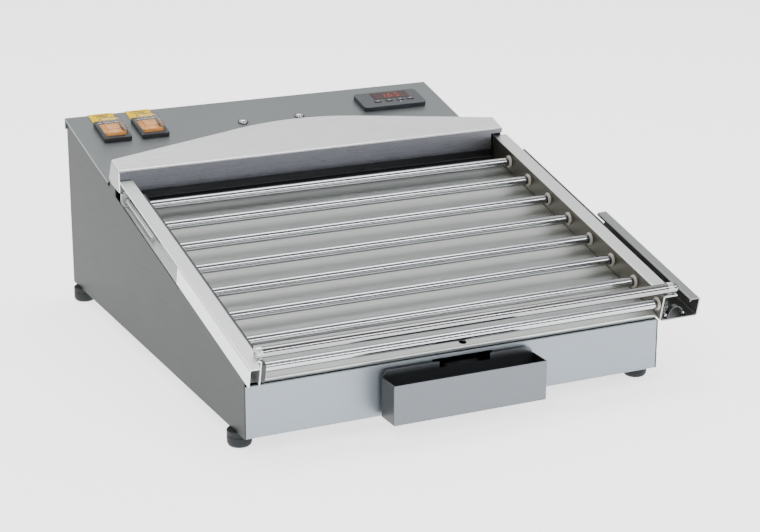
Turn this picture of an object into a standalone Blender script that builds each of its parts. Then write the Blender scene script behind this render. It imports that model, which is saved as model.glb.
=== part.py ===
"""Hot dog roller grill: a wedge-shaped countertop case with a sloping heated bed plate,
eight chrome rollers turned by one chain, a control panel behind a hood, and a hanging
grease box. Metres, +Z up, +Y to the back, +X to the operator's right. The origin is on
the resting plane, under the middle of the whole object."""
import math

import bmesh
import bpy
from mathutils import Matrix, Vector

NAME = "roller_grill"

# ---- driving dimensions (metres) ----------------------------------------------------
SHEET = 0.0012                   # folded stainless sheet
GAP = 0.0003                     # clearance between neighbouring solids

CASE_WIDTH = 0.430               # outside of the side panels
CASE_DEPTH = 0.503               # front panel's face to rear panel's face
FOOT_HEIGHT = 0.016
FRONT_TOP = 0.0654               # top edge of the front panel

BED_SLOPE = math.radians(13.7)
BED_ORIGIN = (0.0, 0.0026, 0.0804)       # axis of the lowest roller
ROLLER_COUNT = 8
ROLLER_PITCH = 0.0435
ROLLER_RADIUS = 0.00475
JOURNAL_RADIUS = 0.003
PLATE_TOP = -0.0105              # bed plate's top under the roller axes
RAIL_TOP = 0.0122                # top of the bearing rails over the roller axes
RAIL_FLOOR = -0.013
RAIL_WALL_LEFT = 0.0146          # faces of the two bearing walls, towards the bed
RAIL_WALL_RIGHT = 0.4303
RAIL_FLANGE = 0.0150
RAIL_END = 0.3370                # where the rails stop at the hood
GUARD_LENGTH = 0.168             # reach of the raised guards up the slope
CHANNEL_RIGHT = 0.4720           # outside of the drive channel

PANEL_SLOPE = math.radians(14.15)
PANEL_REAR = (0.0, 0.5056, 0.2002)       # rear edge of the control panel's top face
PANEL_THICKNESS = 0.0020
PANEL_LENGTH = 0.148
PANEL_OVERHANG = 0.0015

HOOD_WIDTH = 0.4396
HOOD_FRONT = 0.3306
HOOD_FRONT_TOP = 0.1819
HOOD_FACE_BOTTOM = 0.1597
HOOD_SLOPE = math.radians(18.7)
HOOD_END_BACK = 0.3533           # back edge of the hood at its two ends
HOOD_TAPER = 0.2035              # back edge's fall towards the ends
HOOD_CROWN_HALF = 0.070          # half width of the rounded middle of the back edge
HOOD_SKIRT_RUN = 0.012           # how far the hood's back leans

SPROCKET_X = 0.4334              # inner face of the sprocket teeth
SPROCKET_WIDTH = 0.0018
SPROCKET_TIP = 0.0065
SPROCKET_ROOT = 0.0054
SPROCKET_TEETH = 12
CHAIN_INNER = 0.0069
CHAIN_OUTER = 0.0090
CHAIN_X = 0.4328
CHAIN_WIDTH = 0.0030

ELEMENT_LEFT, ELEMENT_RIGHT = 0.030, 0.365      # heating element's two tails
ELEMENT_END = 0.341
ELEMENT_DEPTH = -0.0195

BOX_LEFT, BOX_RIGHT = 0.1318, 0.2893     # grease box
BOX_FRONT, BOX_BACK = -0.0310, -0.0040
BOX_BOTTOM, BOX_RIM, BOX_PLATE_TOP = 0.0167, 0.0551, 0.0613
NOTCH_LEFT, NOTCH_RIGHT = 0.1906, 0.2431
SLOT_BOTTOM, SLOT_TOP = 0.0520, 0.0624
HOOK_REACH = 0.0061
HOOK_DROP = 0.0495

SCREW_XS, SCREW_Y = (0.1844, 0.2513), -0.0522    # control panel's fixing screws
SWITCH_CENTRES = (0.0378, 0.0798)
SWITCH_Y = -0.0450
SWITCH_SIZE = (0.0305, 0.0410)
ROCKER_OPENING = (0.0224, 0.0292)
ROCKER_TILT = math.radians(7.0)
CONTROLLER_CENTRE = (0.3675, -0.0410)
CONTROLLER_SIZE = (0.0770, 0.0350)
CONTROLLER_CUTOUT = (0.0716, 0.0292)
WINDOW_CENTRE, WINDOW_SIZE = (0.3705, -0.0335), (0.0440, 0.0150)
BUTTON_XS = (0.3500, 0.3643, 0.3780, 0.3905)
BUTTON_Y = -0.0460
BUTTON_SIZE = (0.0082, 0.0034)
BEZEL_TOP = 0.0045

FOOT_INSET_X, FOOT_FRONT_Y, FOOT_REAR_Y = 0.006, 0.028, 0.484
FOOT_RADIUS = 0.0116

# the whole object reaches from the left feet to the drive channel, and from the grease
# box to the control panel's rear edge
ORIGIN_X = ((FOOT_INSET_X - FOOT_RADIUS) + CHANNEL_RIGHT) / 2
ORIGIN_Y = (BOX_FRONT + PANEL_REAR[1]) / 2

# ---- finishes: colour, metallic, roughness -----------------------------------------------
FINISHES = {
    "case_steel": ((0.52, 0.53, 0.52), 0.9, 0.42),
    "bright_steel": ((0.66, 0.67, 0.67), 0.9, 0.35),
    "chrome": ((0.80, 0.80, 0.82), 1.0, 0.12),
    "black_plastic": ((0.03, 0.03, 0.035), 0.0, 0.45),
    "slate_plastic": ((0.09, 0.11, 0.13), 0.0, 0.45),
    "amber_plastic": ((0.85, 0.38, 0.10), 0.0, 0.30),
    "clear_plastic": ((0.85, 0.86, 0.88), 0.0, 0.08),
    "display_red": ((0.25, 0.02, 0.02), 0.0, 0.15),
    "ivory_nylon": ((0.82, 0.78, 0.66), 0.0, 0.50),
    "rubber": ((0.05, 0.055, 0.06), 0.0, 0.80),
    "label_yellow": ((0.90, 0.70, 0.05), 0.0, 0.50),
    "motor_grey": ((0.25, 0.26, 0.27), 0.6, 0.50),
    "element_alloy": ((0.16, 0.15, 0.15), 0.7, 0.55),
}


# ---- scene, frames and materials --------------------------------------------------------
def clear_scene():
    for obj in list(bpy.data.objects):
        bpy.data.objects.remove(obj, do_unlink=True)


def make_collection(name):
    collection = bpy.data.collections.new(name)
    bpy.context.scene.collection.children.link(collection)
    return collection


def make_frame(name, location, tilt=0.0, parent=None):
    """An empty whose local x, y, z run right, up the slope, and away from the slope."""
    empty = bpy.data.objects.new(name, None)
    empty.location = location
    empty.rotation_euler = (tilt, 0.0, 0.0)
    empty.parent = parent
    PARTS.objects.link(empty)
    return empty


def make_material(name, finish):
    colour, metallic, roughness = FINISHES[finish]
    material = bpy.data.materials.new(name + "_material")
    material.use_nodes = True
    shader = material.node_tree.nodes["Principled BSDF"]
    shader.inputs["Base Color"].default_value = (*colour, 1.0)
    shader.inputs["Metallic"].default_value = metallic
    shader.inputs["Roughness"].default_value = roughness
    return material


def make_part(name, mesh, frame, finish, location=(0, 0, 0), rotation=(0, 0, 0)):
    part = bpy.data.objects.new(name, mesh)
    PARTS.objects.link(part)
    part.parent = frame
    part.location = location
    part.rotation_euler = rotation
    if not mesh.materials:
        mesh.materials.append(None)
    part.material_slots[0].link = 'OBJECT'
    part.material_slots[0].material = make_material(name, finish)
    return part


def make_cutter(name, mesh, frame, location=(0, 0, 0), rotation=(0, 0, 0)):
    cutter = bpy.data.objects.new(name, mesh)
    CUTTERS.objects.link(cutter)
    cutter.parent = frame
    cutter.location = location
    cutter.rotation_euler = rotation
    cutter.hide_render = True
    cutter.display_type = 'WIRE'
    return cutter


# ---- meshes ---------------------------------------------------------------------------
def finish_mesh(bm, name, smooth=False):
    bmesh.ops.recalc_face_normals(bm, faces=bm.faces)
    mesh = bpy.data.meshes.new(name)
    bm.to_mesh(mesh)
    bm.free()
    if smooth:
        mesh.shade_smooth()
        mesh.set_sharp_from_angle(angle=math.radians(40))
    return mesh


def add_box(bm, low, high):
    low, high = Vector(low), Vector(high)
    place = Matrix.Translation((low + high) / 2) @ Matrix.Diagonal((*(high - low), 1.0))
    return bmesh.ops.create_cube(bm, size=1.0, matrix=place)["verts"]


def box_mesh(name, low, high):
    bm = bmesh.new()
    add_box(bm, low, high)
    return finish_mesh(bm, name)


def boxes_mesh(name, corners):
    """Several boxes in one mesh, for cutters."""
    bm = bmesh.new()
    for low, high in corners:
        add_box(bm, low, high)
    return finish_mesh(bm, name)


def open_box_mesh(name, low, high, open_sides):
    """A box without the faces that look along the given directions."""
    bm = bmesh.new()
    add_box(bm, low, high)
    bm.normal_update()
    loose = [f for f in bm.faces if any(f.normal.dot(Vector(d)) > 0.9 for d in open_sides)]
    bmesh.ops.delete(bm, geom=loose, context='FACES')
    return finish_mesh(bm, name)


def add_rod(bm, centre, radius, x_from, x_to, segments=20):
    """A cylinder along x, centred on (y, z)."""
    middle = Vector(((x_from + x_to) / 2, *centre))
    place = Matrix.Translation(middle) @ Matrix.Rotation(math.pi / 2, 4, 'Y')
    bmesh.ops.create_cone(bm, cap_ends=True, segments=segments, radius1=radius,
                          radius2=radius, depth=x_to - x_from, matrix=place)


def add_post(bm, centre, radius, z_from, z_to, segments=20):
    """A cylinder along z, centred on (x, y)."""
    place = Matrix.Translation((*centre, (z_from + z_to) / 2))
    bmesh.ops.create_cone(bm, cap_ends=True, segments=segments, radius1=radius,
                          radius2=radius, depth=z_to - z_from, matrix=place)


def arc_points(centre, radius, start, end, steps):
    """Points on an arc, angles in degrees, both ends included."""
    angles = [math.radians(start + (end - start) * i / steps) for i in range(steps + 1)]
    return [(centre[0] + radius * math.cos(a), centre[1] + radius * math.sin(a))
            for a in angles]


def rounded_rectangle(centre, size, radius, steps=4):
    outline = []
    for quarter, (sx, sy) in enumerate([(1, 1), (-1, 1), (-1, -1), (1, -1)]):
        corner = (centre[0] + sx * (size[0] / 2 - radius),
                  centre[1] + sy * (size[1] / 2 - radius))
        outline += arc_points(corner, radius, 90 * quarter, 90 * quarter + 90, steps)
    return outline


def outline_mesh(name, outlines, low, high, turn=None):
    """Filled flat outlines (the later ones are holes), extruded from low to high along
    their normal. turn is the matrix that sets the outline's plane."""
    curve = bpy.data.curves.new(name, 'CURVE')
    curve.dimensions = '2D'
    curve.fill_mode = 'BOTH'
    curve.extrude = (high - low) / 2
    for outline in outlines:
        spline = curve.splines.new('POLY')
        spline.points.add(len(outline) - 1)
        for point, (u, v) in zip(spline.points, outline):
            point.co = (u, v, 0.0, 1.0)
        spline.use_cyclic_u = True
    mesh = mesh_from_curve(name, curve)
    mesh.transform((turn or Matrix()) @ Matrix.Translation((0, 0, (low + high) / 2)))
    return mesh


def mesh_from_curve(name, curve):
    """The curve's evaluated surface as a welded mesh; the curve is removed."""
    holder = bpy.data.objects.new(name, curve)
    bpy.context.scene.collection.objects.link(holder)
    depsgraph = bpy.context.evaluated_depsgraph_get()
    raw = bpy.data.meshes.new_from_object(holder.evaluated_get(depsgraph))
    bpy.data.objects.remove(holder, do_unlink=True)
    bpy.data.curves.remove(curve)
    bm = bmesh.new()
    bm.from_mesh(raw)
    bpy.data.meshes.remove(raw)
    bmesh.ops.remove_doubles(bm, verts=bm.verts, dist=1e-6)
    return finish_mesh(bm, name)


# an outline in (y, z) becomes a solid whose thickness runs along x
SIDEWAYS = Matrix(((0, 0, 1, 0), (1, 0, 0, 0), (0, 1, 0, 0), (0, 0, 0, 1)))


def ribbon_mesh(name, profile, start, end, along):
    """An open surface: the profile swept straight from start to end. along is 'x' for a
    profile in (y, z), or 'y' for one in (x, z)."""
    bm = bmesh.new()
    sweep = Vector((end - start, 0, 0)) if along == 'x' else Vector((0, end - start, 0))
    if along == 'x':
        verts = [bm.verts.new((start, u, v)) for u, v in profile]
    else:
        verts = [bm.verts.new((u, start, v)) for u, v in profile]
    edges = [bm.edges.new(pair) for pair in zip(verts, verts[1:])]
    swept = bmesh.ops.extrude_edge_only(bm, edges=edges)["geom"]
    moved = [item for item in swept if isinstance(item, bmesh.types.BMVert)]
    bmesh.ops.translate(bm, verts=moved, vec=sweep)
    return finish_mesh(bm, name)


def turned_mesh(name, profile, steps=16, closed=False):
    """A profile of (radius, height) turned about z with a Screw modifier, as a mesh."""
    mesh = bpy.data.meshes.new(name)
    edges = [(i, i + 1) for i in range(len(profile) - 1)]
    if closed:
        edges.append((len(profile) - 1, 0))
    mesh.from_pydata([(r, 0.0, z) for r, z in profile], edges, [])
    holder = bpy.data.objects.new(name, mesh)
    bpy.context.scene.collection.objects.link(holder)
    screw = holder.modifiers.new("turn", 'SCREW')
    screw.steps = screw.render_steps = steps
    screw.use_merge_vertices = True
    screw.merge_threshold = 0.00001
    turned = evaluated_mesh(holder)
    bpy.data.objects.remove(holder, do_unlink=True)
    turned.name = name
    turned.shade_smooth()
    turned.set_sharp_from_angle(angle=math.radians(40))
    return turned


def evaluated_mesh(obj):
    depsgraph = bpy.context.evaluated_depsgraph_get()
    return bpy.data.meshes.new_from_object(obj.evaluated_get(depsgraph))


# ---- modifiers --------------------------------------------------------------------------
def thicken(part, thickness=SHEET, offset=0.0):
    """Gives an open surface the thickness of a sheet."""
    solidify = part.modifiers.new("sheet", 'SOLIDIFY')
    solidify.thickness = thickness
    solidify.offset = offset
    solidify.use_even_offset = True


def round_bends(part, radius, segments=3, angle=30):
    bevel = part.modifiers.new("bends", 'BEVEL')
    bevel.width = radius
    bevel.segments = segments
    bevel.limit_method = 'ANGLE'
    bevel.angle_limit = math.radians(angle)


def cut(part, cutter):
    boolean = part.modifiers.new("cut_" + cutter.name, 'BOOLEAN')
    boolean.operation = 'DIFFERENCE'
    boolean.object = cutter


def join(part, other):
    boolean = part.modifiers.new("join_" + other.name, 'BOOLEAN')
    boolean.operation = 'UNION'
    boolean.object = other


# ---- geometry of the slopes -----------------------------------------------------------------
def bed_point(y, z):
    """Case (y, z) of a point given up the slope and away from it, in the bed's frame."""
    c, s = math.cos(BED_SLOPE), math.sin(BED_SLOPE)
    return BED_ORIGIN[1] + y * c - z * s, BED_ORIGIN[2] + y * s + z * c


def bed_line(y, z):
    """Height over the ground of the bed-parallel plane at offset z, at case depth y."""
    slope = math.tan(BED_SLOPE)
    return BED_ORIGIN[2] + (y - BED_ORIGIN[1]) * slope + z / math.cos(BED_SLOPE)


def panel_height(y):
    """Height of the control panel's top face at case depth y."""
    return PANEL_REAR[2] - (PANEL_REAR[1] - y) * math.tan(PANEL_SLOPE)


def panel_underside(y):
    return panel_height(y) - PANEL_THICKNESS / math.cos(PANEL_SLOPE)


# ---- case -------------------------------------------------------------------------------
def build_base_pan():
    inset = SHEET + GAP
    low = (inset, inset, FOOT_HEIGHT)
    high = (CASE_WIDTH - inset, CASE_DEPTH - inset, FOOT_HEIGHT + 0.012)
    pan = make_part("base_pan", open_box_mesh("base_pan", low, high, [(0, 0, 1)]), CASE,
                    "case_steel")
    thicken(pan, offset=-1.0)
    slots = []
    for row in range(2):
        for column in range(5):
            x = 0.065 + 0.070 * column
            y = 0.150 + 0.240 * row
            slots.append(((x, y, 0.0), (x + 0.020, y + 0.060, 0.030)))
    cut(pan, make_cutter("pan_vents", boxes_mesh("pan_vents", slots), CASE))


def side_outline(bed_step, hood_step):
    """Outline (y, z) of a side panel: flat base, panel slope, hood step, bed slope."""
    rear_gap, front_gap = 0.0008, 0.0035
    return ([(0.0, FOOT_HEIGHT), (CASE_DEPTH, FOOT_HEIGHT),
             (CASE_DEPTH, panel_underside(CASE_DEPTH) - rear_gap),
             (0.3640, panel_underside(0.3640) - front_gap)]
            + hood_step + bed_step)


def build_side_panels():
    edge, guarded = -0.0103, -0.0053
    hood_step = [(0.3610, 0.1588), (0.3605, 0.1641), (0.3435, 0.1614),
                 (0.3433, bed_line(0.3433, edge))]
    bed_step = [bed_point(GUARD_LENGTH - 0.008, edge), bed_point(GUARD_LENGTH - 0.008, guarded),
                (0.0, bed_line(0.0, guarded))]
    mesh = outline_mesh("left_side_panel", [side_outline(bed_step, hood_step)], 0.0, SHEET,
                        SIDEWAYS)
    make_part("left_side_panel", mesh, CASE, "case_steel")

    edge = -0.0150
    hood_step = [(0.3600, 0.1600), (0.3540, 0.1750), (0.3330, 0.1750),
                 (0.3330, bed_line(0.3330, edge))]
    mesh = outline_mesh("right_side_panel",
                        [side_outline([(0.0, bed_line(0.0, edge))], hood_step)],
                        CASE_WIDTH - SHEET, CASE_WIDTH, SIDEWAYS)
    right = make_part("right_side_panel", mesh, CASE, "case_steel")
    bm = bmesh.new()
    add_rod(bm, (ROLLER_COUNT * ROLLER_PITCH, 0.0), 0.0042, 0.420, 0.440)
    cut(right, make_cutter("shaft_hole", finish_mesh(bm, "shaft_hole"), BED))


def build_front_panel():
    inset = SHEET + GAP
    low, high = (inset, 0.0, FOOT_HEIGHT), (CASE_WIDTH - inset, SHEET, FRONT_TOP - 0.001)
    front = make_part("front_panel", box_mesh("front_panel", low, high), CASE, "case_steel")
    hem = make_cutter("front_hem", box_mesh("front_hem", (inset, 0.0, 0.0610),
                                            (CASE_WIDTH - inset, 0.0024, FRONT_TOP)), CASE)
    round_bends(hem, 0.0006, segments=2)
    join(front, hem)
    slot = boxes_mesh("grease_slot", [((NOTCH_LEFT - 0.005, -0.005, SLOT_BOTTOM),
                                       (NOTCH_RIGHT + 0.005, 0.010, SLOT_TOP))])
    cut(front, make_cutter("grease_slot", slot, CASE))


def build_rear_panel():
    inset = SHEET + GAP
    top = panel_underside(CASE_DEPTH) - 0.0015
    mesh = box_mesh("rear_panel", (inset, CASE_DEPTH - SHEET, FOOT_HEIGHT),
                    (CASE_WIDTH - inset, CASE_DEPTH, top))
    rear = make_part("rear_panel", mesh, CASE, "case_steel")
    louvres = []
    for side in (0.060, 0.240):
        for row in range(6):
            z = 0.110 + 0.010 * row
            louvres.append(((side, 0.490, z), (side + 0.110, 0.510, z + 0.004)))
    louvres.append(((0.3655, 0.490, 0.0395), (0.3945, 0.510, 0.0605)))
    cut(rear, make_cutter("rear_openings", boxes_mesh("rear_openings", louvres), CASE))


def build_control_panel():
    lip = 0.012
    profile = [(-PANEL_LENGTH, 0.0), (0.0, 0.0),
               (-math.sin(PANEL_SLOPE) * lip, -math.cos(PANEL_SLOPE) * lip)]
    mesh = ribbon_mesh("control_panel", profile, -PANEL_OVERHANG,
                       CASE_WIDTH + PANEL_OVERHANG / 3, 'x')
    panel = make_part("control_panel", mesh, PANEL, "case_steel")
    round_bends(panel, 0.0015)
    panel_side = facing(mesh, (0, 0, 1))
    thicken(panel, PANEL_THICKNESS, offset=-panel_side)
    openings = [box_opening(CONTROLLER_CENTRE, CONTROLLER_CUTOUT)]
    for x in SWITCH_CENTRES:
        openings.append(box_opening((x, SWITCH_Y), (0.0268, 0.0368)))
    cut(panel, make_cutter("panel_openings", boxes_mesh("panel_openings", openings), PANEL))
    bm = bmesh.new()
    for x in SCREW_XS:
        add_post(bm, (x, SCREW_Y), 0.0022, -0.010, 0.005, 12)
    cut(panel, make_cutter("screw_holes", finish_mesh(bm, "screw_holes"), PANEL))


def box_opening(centre, size):
    return ((centre[0] - size[0] / 2, centre[1] - size[1] / 2, -0.020),
            (centre[0] + size[0] / 2, centre[1] + size[1] / 2, 0.020))


def facing(mesh, direction):
    """1 when the surface's largest face looks along direction, else -1."""
    largest = max(mesh.polygons, key=lambda face: face.area)
    return 1.0 if largest.normal.dot(Vector(direction)) > 0 else -1.0


def hood_back(x):
    """Back edge of the hood at x: straight tapers that meet in a rounded crown."""
    d = abs(x - HOOD_WIDTH / 2)
    at_crown = HOOD_END_BACK + HOOD_TAPER * (HOOD_WIDTH / 2 - HOOD_CROWN_HALF)
    if d > HOOD_CROWN_HALF:
        return HOOD_END_BACK + HOOD_TAPER * (HOOD_WIDTH / 2 - d)
    rise = HOOD_TAPER * HOOD_CROWN_HALF / 2
    return at_crown + rise * (1 - (d / HOOD_CROWN_HALF) ** 2)


def build_hood():
    """Top plate with an arched back edge, a square front face, ends and a leaning back."""
    crown = [HOOD_WIDTH / 2 + HOOD_CROWN_HALF * (1 - i / 6) for i in range(13)]
    xs = [HOOD_WIDTH] + crown + [0.0]
    outline = [(0.0, HOOD_FRONT), (HOOD_WIDTH, HOOD_FRONT)] + [(x, hood_back(x)) for x in xs]
    bm = bmesh.new()
    top, foot = [], []
    for i, (x, y) in enumerate(outline):
        rise = (y - HOOD_FRONT) * math.tan(HOOD_SLOPE)
        top.append(bm.verts.new((x, y, HOOD_FRONT_TOP + rise)))
        lean = 0.0 if i < 2 else HOOD_SKIRT_RUN
        height = HOOD_FACE_BOTTOM if i < 2 else panel_height(y + lean) + 0.0004
        foot.append(bm.verts.new((x, y + lean, height)))
    bm.faces.new(top)
    for i in range(len(outline)):
        j = (i + 1) % len(outline)
        bm.faces.new((top[i], top[j], foot[j], foot[i]))
    mesh = finish_mesh(bm, "hood")
    hood = make_part("hood", mesh, CASE, "bright_steel")
    thicken(hood, offset=-facing(mesh, (0, 0, 1)))
    notch = boxes_mesh("rail_notch", [((0.4250, 0.315, -0.030), (0.4410, 0.3455, 0.0159))])
    cut(hood, make_cutter("rail_notch", notch, BED))


# ---- bed ---------------------------------------------------------------------------------
def build_bed_plate():
    thickness, rear, upstand = 0.0015, 0.3385, 0.0150
    profile = [(rear + upstand * math.sin(BED_SLOPE), PLATE_TOP + upstand * math.cos(BED_SLOPE)),
               (rear, PLATE_TOP), (-0.0030, PLATE_TOP), (-0.0030, PLATE_TOP - 0.0038)]
    mesh = ribbon_mesh("bed_plate", profile, RAIL_WALL_LEFT + 0.0005,
                       RAIL_WALL_RIGHT - 0.0006, 'x')
    plate = make_part("bed_plate", mesh, BED, "bright_steel")
    round_bends(plate, 0.0012)
    thicken(plate, thickness, offset=-facing(mesh, (0, 0, 1)))
    bm = bmesh.new()
    add_post(bm, (0.2216, 0.0042), 0.0040, -0.020, 0.0, 16)
    cut(plate, make_cutter("drain_hole", finish_mesh(bm, "drain_hole"), BED))
    relief = box_mesh("plate_relief", (CASE_WIDTH - SHEET - 0.0008, 0.3300, -0.0200),
                      (0.4400, 0.3600, 0.0200))
    cut(plate, make_cutter("plate_relief", relief, BED))


def build_rail(name, profile, start, end, bend=0.0012):
    """A folded rail: a profile in (x, z) run up the slope."""
    rail = make_part(name, ribbon_mesh(name, profile, start, end, 'y'), BED, "case_steel")
    round_bends(rail, bend)
    thicken(rail)
    return rail


def build_bearing_rails():
    half = SHEET / 2
    wall = RAIL_WALL_LEFT - half
    left = build_rail("left_bearing_rail",
                      [(RAIL_WALL_LEFT - RAIL_FLANGE + 0.0003, RAIL_TOP - half),
                       (wall, RAIL_TOP - half), (wall, RAIL_FLOOR - half),
                       (0.0020, RAIL_FLOOR - half)], -0.008, RAIL_END)
    relief = box_mesh("rail_relief", (0.0, -0.010, -0.016), (0.016, -0.001, RAIL_FLOOR + GAP))
    cut(left, make_cutter("rail_relief", relief, BED))
    wall = RAIL_WALL_RIGHT + half
    right = build_rail("right_bearing_rail",
                       [(RAIL_WALL_RIGHT + RAIL_FLANGE + 0.0002, RAIL_TOP - half),
                        (wall, RAIL_TOP - half), (wall, RAIL_FLOOR - half)], -0.008, 0.3435)
    bm = bmesh.new()
    for index in range(ROLLER_COUNT):
        add_rod(bm, (index * ROLLER_PITCH, 0.0), 0.0049, 0.420, 0.440, 16)
    cut(right, make_cutter("bushing_holes", finish_mesh(bm, "bushing_holes"), BED))


def build_guard_rails():
    half = SHEET / 2
    build_rail("left_guard_rail",
               [(-0.0016, -0.0045), (-0.0016, RAIL_TOP + GAP + half),
                (0.0088, RAIL_TOP + GAP + half)], -0.0205, GUARD_LENGTH - 0.006, 0.0015)
    outer = CHANNEL_RIGHT - half
    right = build_rail("right_guard_rail",
                       [(0.4320, RAIL_FLOOR - half), (outer, RAIL_FLOOR - half), (outer, 0.0055),
                        (outer - 0.0105, 0.0055), (outer - 0.0105, 0.0030)],
                       -0.0098, 0.3440, 0.0015)
    upper = boxes_mesh("guard_relief", [((0.4500, GUARD_LENGTH, -0.0090),
                                         (0.4900, 0.3600, 0.0200))])
    cut(right, make_cutter("guard_relief", upper, BED))


def build_bearing_strip():
    mesh = box_mesh("left_bearing_strip", (RAIL_WALL_LEFT + GAP, -0.0070, PLATE_TOP + 0.0005),
                    (0.0196, 0.3160, 0.0070))
    strip = make_part("left_bearing_strip", mesh, BED, "black_plastic")
    bm = bmesh.new()
    for index in range(ROLLER_COUNT):
        add_rod(bm, (index * ROLLER_PITCH, 0.0), 0.0033, 0.010, 0.025, 16)
    cut(strip, make_cutter("journal_holes", finish_mesh(bm, "journal_holes"), BED))


def build_stop_bar():
    y, z, radius = -0.0025, 0.0177, 0.0050
    bm = bmesh.new()
    add_rod(bm, (y, z), radius, 0.0094, 0.4460, 20)
    bar = make_part("stop_bar", finish_mesh(bm, "stop_bar", smooth=True), BED, "chrome")
    feet = [((x - 0.003, y - 0.003, RAIL_TOP + GAP), (x + 0.003, y + 0.003, z - 0.002))
            for x in (0.0125, 0.4380)]
    for index, (low, high) in enumerate(feet):
        name = "bar_foot_%d" % index
        join(bar, make_cutter(name, box_mesh(name, low, high), BED))


# ---- rollers and drive ---------------------------------------------------------------------
def toothed_disk():
    """Sprocket outline: pointed teeth between V-shaped roots."""
    outline = []
    for half_step in range(2 * SPROCKET_TEETH):
        radius = SPROCKET_TIP if half_step % 2 else SPROCKET_ROOT
        angle = math.pi * half_step / SPROCKET_TEETH
        outline.append((radius * math.cos(angle), radius * math.sin(angle)))
    return outline


def shaft_with_sprocket(name, profile):
    """A turned shaft joined to the sprocket disk, as one mesh about z."""
    shaft = bpy.data.objects.new(name, turned_mesh(name, profile))
    disk_mesh = outline_mesh(name + "_disk", [toothed_disk()], SPROCKET_X,
                             SPROCKET_X + SPROCKET_WIDTH)
    disk = bpy.data.objects.new(name + "_disk", disk_mesh)
    for holder in (shaft, disk):
        bpy.context.scene.collection.objects.link(holder)
    join(shaft, disk)
    mesh = evaluated_mesh(shaft)
    for holder in (shaft, disk):
        bpy.data.objects.remove(holder, do_unlink=True)
    mesh.name = name
    mesh.shade_smooth()
    mesh.set_sharp_from_angle(angle=math.radians(40))
    return mesh


def build_rollers():
    """Rollers are numbered from the front; each has its sprocket on its right journal."""
    hub = SPROCKET_X - 0.0006
    profile = [(0.0, 0.4368), (JOURNAL_RADIUS, 0.4368), (JOURNAL_RADIUS, SPROCKET_X + 0.001),
               (0.0040, SPROCKET_X + 0.001), (0.0040, hub), (JOURNAL_RADIUS, hub),
               (JOURNAL_RADIUS, 0.4255), (ROLLER_RADIUS - 0.0004, 0.4255),
               (ROLLER_RADIUS, 0.4251), (ROLLER_RADIUS, 0.0204),
               (ROLLER_RADIUS - 0.0004, 0.0200), (JOURNAL_RADIUS, 0.0200),
               (JOURNAL_RADIUS, 0.0152), (0.0, 0.0152)]
    mesh = shaft_with_sprocket("roller", profile)
    for index in range(ROLLER_COUNT):
        make_part("roller_%d" % (index + 1), mesh, BED, "chrome",
                  (0.0, index * ROLLER_PITCH, 0.0), (0.0, math.pi / 2, 0.0))


def build_bushings():
    """Flanged nylon bushings in the right bearing wall."""
    bore, sleeve, flange = JOURNAL_RADIUS + GAP, 0.0046, 0.0072
    face, seat, end = 0.4279, RAIL_WALL_RIGHT - GAP, 0.4324
    profile = [(bore, end), (sleeve, end), (sleeve, seat), (flange, seat),
               (flange, face + 0.0008), (flange - 0.0008, face), (bore, face)]
    mesh = turned_mesh("bushing", profile, closed=True)
    for index in range(ROLLER_COUNT):
        make_part("bushing_%d" % (index + 1), mesh, BED, "ivory_nylon",
                  (0.0, index * ROLLER_PITCH, 0.0), (0.0, math.pi / 2, 0.0))


def obround(radius, length, steps=12):
    """Outline (y, z) of a belt of the given radius round two centres on the y axis."""
    return arc_points((length, 0.0), radius, -90, 90, steps) + arc_points(
        (0.0, 0.0), radius, 90, 270, steps)


def build_drive():
    reach = ROLLER_COUNT * ROLLER_PITCH
    mesh = outline_mesh("drive_chain", [obround(CHAIN_OUTER, reach), obround(CHAIN_INNER, reach)],
                        CHAIN_X, CHAIN_X + CHAIN_WIDTH, SIDEWAYS)
    make_part("drive_chain", mesh, BED, "case_steel")

    profile = [(0.0, 0.4368), (JOURNAL_RADIUS, 0.4368), (JOURNAL_RADIUS, SPROCKET_X + 0.001),
               (0.0040, SPROCKET_X + 0.001), (0.0040, 0.4320), (JOURNAL_RADIUS, 0.4320),
               (JOURNAL_RADIUS, 0.4273), (0.0, 0.4273)]
    make_part("drive_sprocket", shaft_with_sprocket("drive_sprocket", profile), BED,
              "case_steel", (0.0, reach, 0.0), (0.0, math.pi / 2, 0.0))

    cover = open_box_mesh("chain_end_cover", (0.4304, 0.3442, -0.0132), (0.4381, 0.3610, 0.0109),
                          [(-1, 0, 0), (0, -1, 0)])
    part = make_part("chain_end_cover", cover, BED, "case_steel")
    thicken(part, 0.0010, offset=-1.0)


def build_gearmotor():
    """Gearbox with its output in a nose at the top front, and a motor can."""
    outline = [(0.3365, 0.1000), (0.3930, 0.1000), (0.3930, 0.1500), (0.3620, 0.1560),
               (0.3520, 0.1690), (0.3365, 0.1690)]
    mesh = outline_mesh("gearmotor", [outline], 0.3960, 0.4270, SIDEWAYS)
    motor = make_part("gearmotor", mesh, CASE, "motor_grey")
    bm = bmesh.new()
    add_rod(bm, (0.3650, 0.1250), 0.0240, 0.3350, 0.4000, 24)
    can = make_cutter("motor_can", finish_mesh(bm, "motor_can"), CASE)
    join(motor, can)


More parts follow.
